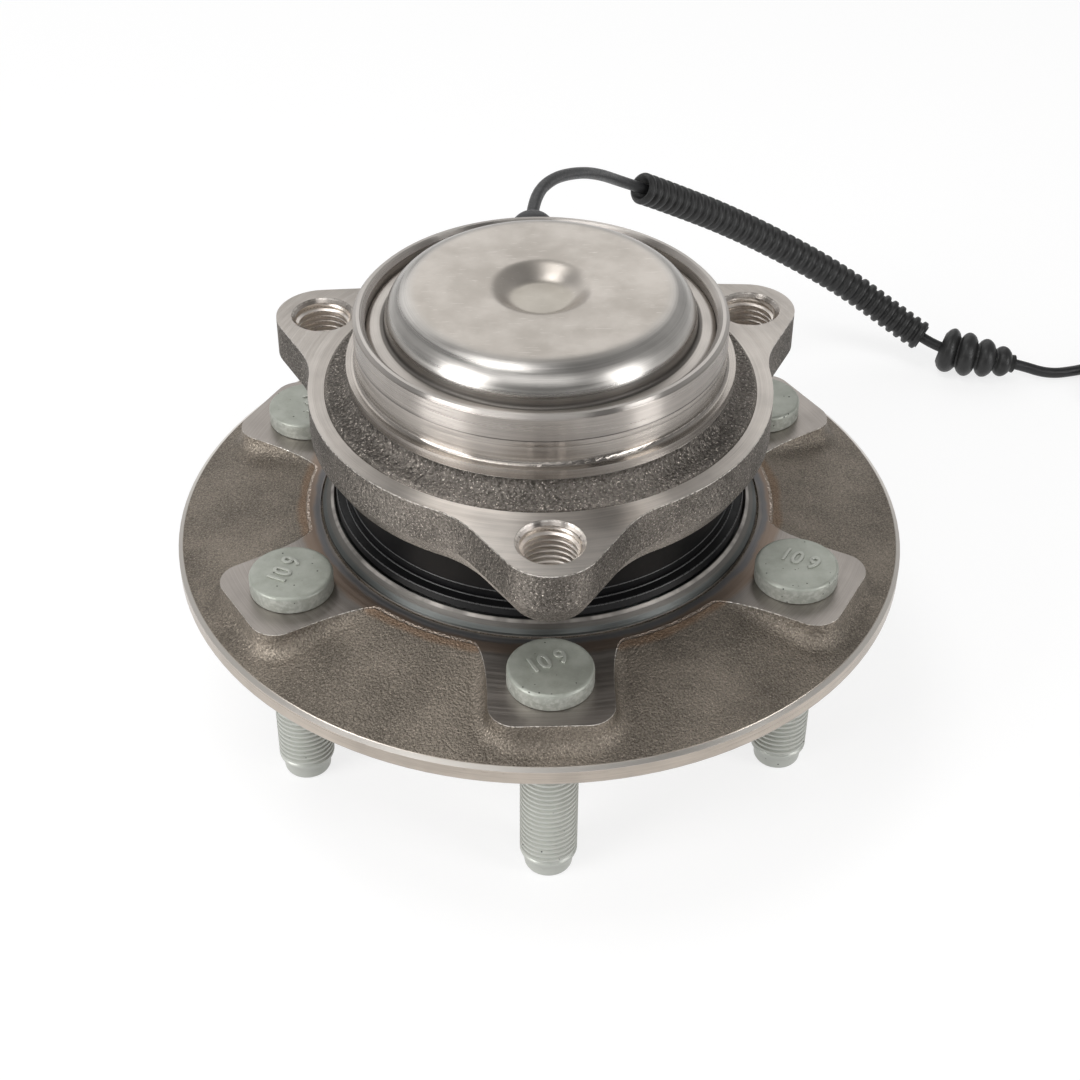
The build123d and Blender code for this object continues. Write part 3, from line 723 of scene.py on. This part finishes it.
def cap_finish():
    """Drawn sheet cap: satin dome with fine scratches, a turned shoulder, and painted shade at its
    foot.
    """
    finish = Finish("cap_steel", turned_grey, 0.35, 1.0)
    radius = finish.radius()
    height = finish.height()
    cloud = finish.noise(0.07, detail=4, rough=0.6)
    rub = finish.noise(1.2, detail=3)
    tint = finish.mix(finish.rise(cloud, 0.3, 0.7), (0.45, 0.413, 0.372), (0.54, 0.50, 0.457))
    look = (tint, finish.rise(cloud, 0.3, 0.7, 0.42, 0.34), finish.math("MULTIPLY", rub, 0.008))
    mapping = {"Vector": finish.place, "Scale": (0.35, 4.0, 1.0), "Rotation": (0, 0, 0.5)}
    scratch_place = finish.node("Mapping", mapping).outputs[0]
    scratch = finish.rise(finish.noise(0.8, scratch_place, detail=1), 0.70, 0.73, 0.0, 0.5)
    look = finish.lay(scratch, look, even_look((0.68, 0.64, 0.60), 0.3))
    shoulder = finish.both(finish.rise(radius, cap_wall - 7.2, cap_wall - 3.2),
                           finish.rise(radius, cap_base + 0.3, cap_base - 0.3))
    look = finish.lay(shoulder, look, machined_look(finish, (0.52, 0.50, 0.475), 0.30, 0.7))
    # Painted shade: a dark band at the cap's foot, where it sits in the spigot
    foot_shade = finish.both(finish.rise(height, cap_seat + 1.7, cap_seat + 0.5),
                       finish.rise(radius, cap_base + 1.3, cap_base + 0.7))
    look = finish.lay(finish.math("MULTIPLY", foot_shade, 0.8), look, even_look((0.09, 0.083, 0.077), 0.5))
    flange = finish.both(finish.rise(radius, cap_base + 0.9, cap_base + 1.3),
                         finish.rise(height, cap_seat + 0.7, cap_seat + 0.4))
    look = finish.lay(flange, look, machined_look(finish, (0.50, 0.465, 0.43), 0.36))
    dimple = finish.rise(radius, dimple_floor + 2.3, dimple_floor + 0.3)
    look = finish.lay(finish.math("MULTIPLY", dimple, 0.4), look, even_look((0.36, 0.335, 0.275), 0.36))
    finish.wear(look)
    finish.spun(0.25)
    return finish


def stud_finish():
    """Zinc-flake coating: soft grey-green, chalky at the edges, with dark pits."""
    finish = Finish("stud_coating", (0.26, 0.28, 0.245), 0.45, 0.4)
    height = finish.height()
    cloud = finish.noise(0.22, detail=4)
    fine = finish.noise(2.2, detail=2)
    tint = finish.mix(finish.rise(cloud, 0.3, 0.7), (0.310, 0.325, 0.278), (0.395, 0.410, 0.362))
    tint = finish.mix(finish.rise(fine, 0.3, 0.75, 0.0, 0.25), tint, (0.45, 0.46, 0.43))
    look = (tint, finish.rise(fine, 0.3, 0.7, 0.38, 0.5), finish.math("MULTIPLY", fine, 0.02))
    side = finish.between(height, land_height, land_height + 3.9, 0.4)
    chalk = finish.both(side, finish.rise(finish.noise(0.9, detail=3), 0.4, 0.65, 0.2, 0.8))
    look = finish.lay(chalk, look, even_look((0.56, 0.57, 0.525), 0.5))
    shank = finish.rise(height, 1.0, 0.0, 0.0, 0.6)
    look = finish.lay(shank, look, even_look((0.66, 0.67, 0.63), 0.42))
    specks = finish.rise(finish.cells(0.62), 0.16, 0.09)
    speck_share = finish.both(specks, finish.rise(finish.noise(0.5), 0.5, 0.58))
    look = finish.lay(speck_share, look, ((0.05, 0.052, 0.048), 0.7, -0.08))
    rubbed = finish.rise(height, stud_head_top + 0.12, stud_head_top + 0.3, 0.0, 0.3)
    look = finish.lay(rubbed, look, even_look((0.60, 0.61, 0.565), 0.4))
    finish.wear(look)
    return finish


def seal_finish():
    """Black moulded rubber, a little dusty."""
    finish = Finish("seal_rubber", (0.014, 0.014, 0.015), 0.32)
    finish.set("Specular IOR Level", 0.25)
    dust = finish.rise(finish.noise(0.7, detail=4), 0.55, 0.8, 0.0, 0.08)
    tint = finish.mix(dust, (0.006, 0.006, 0.0065), (0.06, 0.058, 0.055))
    rough = finish.rise(finish.noise(1.2), 0.3, 0.7, 0.28, 0.4)
    finish.wear((tint, rough, finish.math("MULTIPLY", finish.noise(3.0), 0.008)))
    return finish


def build_seal_ribs():
    """Three thin moulded ribs on the seal's flare."""
    finish = plain_plastic("rib_rubber", (0.055, 0.055, 0.055), 0.3)
    sides = 144
    ring = 8
    thickness = 0.2
    ribs = ((48.05, 18.4), (48.9, 16.5), (50.9, 15.95))
    for number, (radius, height) in enumerate(ribs, 1):
        vertices = []
        for k in range(sides):
            angle = math.tau * k / sides
            for j in range(ring):
                lean = math.tau * j / ring
                reach = radius + thickness * math.cos(lean)
                rise = height + thickness * math.sin(lean) + wheel_face
                vertices.append((reach * math.cos(angle), reach * math.sin(angle), rise))
        faces = []
        for k in range(sides):
            for j in range(ring):
                a, b = k * ring, (k + 1) % sides * ring
                n = (j + 1) % ring
                faces.append((a + j, b + j, b + n, a + n))
        rib = mesh_piece(f"seal_rib_{number}", vertices, faces)
        dress(rib, finish)
        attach(rib, "knuckle_side")


def stamped_finish(name, color, rough):
    """Pressed sheet steel or plated steel with fine marks."""
    finish = Finish(name, color, rough, 1.0)
    finish.wear(machined_look(finish, color, rough))
    return finish


def dress_cad():
    """Finishes for the CAD nodes that stay."""
    dress_node("hub", hub_finish())
    dress_node("outer_ring", ring_finish())
    dress_node("seal_lip", seal_finish())
    sheet = stamped_finish("seal_sheet", (0.42, 0.41, 0.40), 0.3)
    for name in ("slinger", "encoder_carrier"):
        dress_node(name, sheet)
    # Near-black finish on the seal case, in the dark area under the ears
    dress_node("seal_case", plain_plastic("seal_case_black", (0.010, 0.010, 0.011), 0.32))
    polished = stamped_finish("bearing_steel", (0.62, 0.61, 0.60), 0.1)
    for name in ("inner_ring", "outboard_balls", "inboard_balls"):
        dress_node(name, polished)
    cage = plain_plastic("cage_plastic", (0.045, 0.038, 0.03), 0.45)
    for name in ("outboard_cage", "inboard_cage"):
        dress_node(name, cage)
    dress_node("encoder_ring", plain_plastic("encoder_rubber", (0.03, 0.027, 0.025), 0.6))
    dress_node("speed_sensor", plain_plastic("sensor_plastic", (0.02, 0.02, 0.021), 0.42, 3.0, 0.02))
    dress_node("sensor_o_ring", plain_plastic("o_ring_rubber", (0.015, 0.015, 0.015), 0.4))
    dress_node("sensor_bushing", stamped_finish("sleeve_brass", (0.62, 0.46, 0.22), 0.32))
    dress_node("sensor_screw", stamped_finish("screw_zinc", (0.48, 0.47, 0.44), 0.35))
    dress_node("coil_tie", plain_plastic("tie_nylon", (0.02, 0.02, 0.02), 0.4))
    dress_node("connector", plain_plastic("plug_plastic", (0.026, 0.026, 0.027), 0.4, 2.5, 0.015))
    dress_node("connector_seal", plain_plastic("wire_seal", (0.36, 0.075, 0.02), 0.45))


# Threads
thread_sides = 48


def thread_rows(low, high, plain, cut, pitch):
    """Vertices and faces of a threaded wall from its top to its bottom, about the Z axis.

    The wall is plain at its ends and cut to the thread's root in between."""
    sides = thread_sides
    profile = ((0.0, 1.0), (0.30, 0.94), (0.55, 0.0), (0.65, 0.0), (0.90, 0.94))
    turns = math.ceil((high - low) / pitch) + 2
    rows = turns * len(profile)
    vertices = []
    for row in range(rows):
        share, crest = profile[row % len(profile)]
        start = high + pitch * (1 - row // len(profile) - share)
        for k in range(sides):
            at = min(max(start - pitch * k / sides, low), high)
            fade = smooth_step((at - low) / pitch) * smooth_step((high - at) / (1.2 * pitch))
            radius = plain + (cut - plain) * (1 - crest) * fade
            angle = -math.tau * k / sides
            vertices.append((radius * math.cos(angle), radius * math.sin(angle), at))
    faces = []
    step = len(profile)
    for row in range(rows - 1):
        for k in range(sides):
            here = row * sides + k
            if k + 1 < sides:
                ahead = here + 1
            elif row + 1 + step < rows:
                ahead = (row + step) * sides
            else:
                continue
            faces.append((here, ahead, ahead + sides, here + sides))
    return vertices, faces


def add_rings(vertices, faces, rings, sides=thread_sides):
    """Adds a stack of plain rings, given as (radius, height) from the top down."""
    first = len(vertices)
    for radius, height in rings:
        for k in range(sides):
            angle = -math.tau * k / sides
            vertices.append((radius * math.cos(angle), radius * math.sin(angle), height))
    for i in range(len(rings) - 1):
        for k in range(sides):
            n = (k + 1) % sides
            a, b = first + i * sides, first + (i + 1) * sides
            faces.append((a + k, a + n, b + n, b + k))


def placed(vertices, x=0.0, y=0.0):
    """Points about the Z axis moved to their place, with heights above the floor."""
    return [(px + x, py + y, pz + wheel_face) for px, py, pz in vertices]


def arc_profile(centre_radius, centre_height, rounding, start, end, steps=5):
    """Points on a rounded corner of a turned profile, with angles in degrees from outwards."""
    points = []
    for i in range(steps + 1):
        angle = math.radians(start + (end - start) * i / steps)
        radius = centre_radius + rounding * math.cos(angle)
        points.append((radius, centre_height + rounding * math.sin(angle)))
    return points


# The cap's, studs' and threads' own sizes, as radii, heights above the wheel face and thicknesses.
# The hole threads' places are depths below the mounting face, and the turns of the studs' digits are
# in degrees. A turned profile starts at axis_radius.
axis_radius = 0.01
cap_wall = 36.2
cap_base = 37.3
cap_edge = 41.8
cap_seat = 63.5
skirt_bottom = 57.4
cap_thickness = 1.5
dimple_floor = 6.2
dimple_mouth = 12.9
dimple_start = dimple_floor * 0.35
dimple_depth = 3.2
dimple_crown = 0.12
stud_head_radius = 10.05
stud_head_top = land_height + 4.6
stud_point_radius = 5.9
knurl_radius = stud_radius + 0.6
thread_pitch = 1.5
thread_root = 6.25
thread_start = -0.5
thread_end = -43.0
hole_chamfer = 0.95
hole_thread_end = 15.2
hole_thread_depth = 0.8
point_start = -45.4
strength_turns = (24, -30, 40, 118, -80, 64)


def digits_mesh(turn):
    """Raised strength-class digits for a stud's head, turned about its axis."""
    data = bpy.data.curves.new("digits", "FONT")
    data.body = "10 9"
    data.size = 6.6
    data.align_x = "CENTER"
    data.align_y = "CENTER"
    data.offset = 0.06
    data.extrude = 0.25
    data.bevel_depth = 0.12
    data.space_word = 0.8
    data.bevel_resolution = 2
    data.space_character = 1.05
    probe = bpy.data.objects.new("digits", data)
    mesh = bpy.data.meshes.new_from_object(probe)
    bpy.data.objects.remove(probe)
    bpy.data.curves.remove(data)
    place = Matrix.Rotation(math.radians(turn), 4, "Z") @ Matrix.Translation((0.0, 1.6, stud_head_top))
    mesh.transform(place @ Matrix.Diagonal((0.83, 1.0, 1.0, 1.0)))
    vertices = [tuple(vertex.co) for vertex in mesh.vertices]
    faces = [tuple(polygon.vertices) for polygon in mesh.polygons]
    bpy.data.meshes.remove(mesh)
    return vertices, faces


def build_stud(number, turn, finish):
    """One wheel stud with its rolled thread, point and marked head."""
    vertices, faces = thread_rows(thread_end, thread_start, stud_radius, thread_root, thread_pitch)
    head = [(axis_radius, stud_head_top), (stud_head_radius - 1.4, stud_head_top)]
    head += arc_profile(stud_head_radius - 0.8, stud_head_top - 0.8, 0.8, 90, 0)
    head += arc_profile(stud_head_radius - 0.4, land_height + 0.4, 0.4, 0, -90)
    head += [(knurl_radius, land_height), (knurl_radius, -thread_start), (stud_radius, thread_start)]
    add_rings(vertices, faces, head)
    point = [(stud_radius, thread_end), (stud_radius - 0.1, thread_end - 0.4)]
    point += [(stud_point_radius + 0.25, point_start + 0.6), (stud_point_radius, point_start)]
    point += arc_profile(stud_point_radius - 1.3, 1.3 - wheel_face, 1.3, 0, -90)
    point += [(axis_radius, -wheel_face)]
    add_rings(vertices, faces, point)
    marks, mark_faces = digits_mesh(turn)
    offset = len(vertices)
    vertices += marks
    faces += [tuple(index + offset for index in face) for face in mark_faces]
    low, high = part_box(f"wheel_stud_{number}")
    x, y = (low.x + high.x) / 2 / MM, (low.y + high.y) / 2 / MM
    stud = mesh_piece(f"stud_threaded_{number}", placed(vertices, x, y), faces)
    mark_sharp(stud, 40)
    dress(stud, finish)
    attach(stud, "wheel_side")
    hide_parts(f"wheel_stud_{number}")


def mark_sharp(piece, degrees):
    """Keeps edges sharper than an angle crisp, and welds doubled points."""
    mesh = piece.data
    shape = bmesh.new()
    shape.from_mesh(mesh)
    bmesh.ops.remove_doubles(shape, verts=shape.verts, dist=1e-6)
    bmesh.ops.dissolve_degenerate(shape, edges=shape.edges, dist=1e-6)
    bmesh.ops.recalc_face_normals(shape, faces=shape.faces)
    for edge in shape.edges:
        edge.smooth = len(edge.link_faces) == 2 and edge.calc_face_angle(0) < math.radians(degrees)
    shape.to_mesh(mesh)
    shape.free()


def build_cap():
    """Drawn sheet cap with a soft dimple, on the CAD cap's own outline."""
    sides = 192
    lean = math.degrees(math.atan2(cap_base - cap_wall, cap_top - cap_seat))
    rounding = cap_top - cap_seat - 0.8
    middle = cap_wall - rounding * math.tan(math.radians(45 - lean / 2))
    dimple_steps = 28
    dimple = []
    for i in range(dimple_steps + 1):
        radius = dimple_start + (dimple_mouth - dimple_start) * i / dimple_steps
        sink = dimple_depth * (1 - smooth_step((radius - dimple_floor) / (dimple_mouth - dimple_floor)))
        dimple.append((radius, sink))
    outline = [(axis_radius, cap_top - dimple_depth + dimple_crown)]
    for radius, sink in dimple:
        crown = dimple_crown * (1 - smooth_step(radius / dimple_floor))
        outline.append((radius, cap_top - sink + crown))
    outline += arc_profile(middle, cap_top - rounding, rounding, 90, lean, 24)
    outline += [(cap_base - 0.1, cap_seat + 0.85), (cap_base + 0.02, cap_seat + 0.3)]
    outline += [(cap_base + 0.22, cap_seat + 0.06), (cap_base + 0.6, cap_seat)]
    outline += arc_profile(cap_edge - 1.8, cap_seat - 1.8, 1.8, 90, 0, 8)
    skirt_inside = cap_edge - cap_thickness
    underside = cap_seat - cap_thickness
    outline += [(cap_edge, skirt_bottom), (skirt_inside, skirt_bottom)]
    outline += arc_profile(skirt_inside - 0.5, underside - 0.5, 0.5, 0, 90, 3)
    outline.append((cap_base - cap_thickness + 1.0, underside))
    outline.append((cap_base - cap_thickness - 0.1, cap_seat - 0.2))
    outline += arc_profile(middle, cap_top - rounding, rounding - cap_thickness, lean, 90, 12)
    outline += [(radius + 0.2, cap_top - sink - cap_thickness) for radius, sink in reversed(dimple)]
    outline.append((axis_radius, cap_top - dimple_depth - cap_thickness))
    vertices, faces = [], []
    add_rings(vertices, faces, outline, sides)
    cap = mesh_piece("drawn_cap", placed(vertices), faces)
    mark_sharp(cap, 50)
    dress(cap, cap_finish())
    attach(cap, "knuckle_side")
    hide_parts("end_cap")


def build_ear_threads():
    """Cut threads inside the three mounting holes."""
    finish = stamped_finish("cut_thread", (0.80, 0.745, 0.69), 0.36)
    low, high = face_height - hole_thread_end, face_height - hole_chamfer
    for number, angle in enumerate(hole_angles, 1):
        x, y = ear_circle / 2 * math.cos(angle), ear_circle / 2 * math.sin(angle)
        vertices, faces = thread_rows(low, high, ear_bore, ear_bore - hole_thread_depth, thread_pitch)
        faces = [tuple(reversed(face)) for face in faces]
        thread = mesh_piece(f"hole_thread_{number}", placed(vertices, x, y), faces)
        mark_sharp(thread, 50)
        dress(thread, finish)
        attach(thread, "knuckle_side")


place_camera()
cable, route = build_lead()
centre_line = line_of(cable)
conduit = build_conduit(centre_line, route)
grommet = build_grommet(centre_line, route)
build_floor()
build_world()
build_lights()
dress_cad()
build_cap()
build_ear_threads()
build_seal_ribs()
coating = stud_finish()
for number, turn in enumerate(strength_turns, 1):
    build_stud(number, turn, coating)
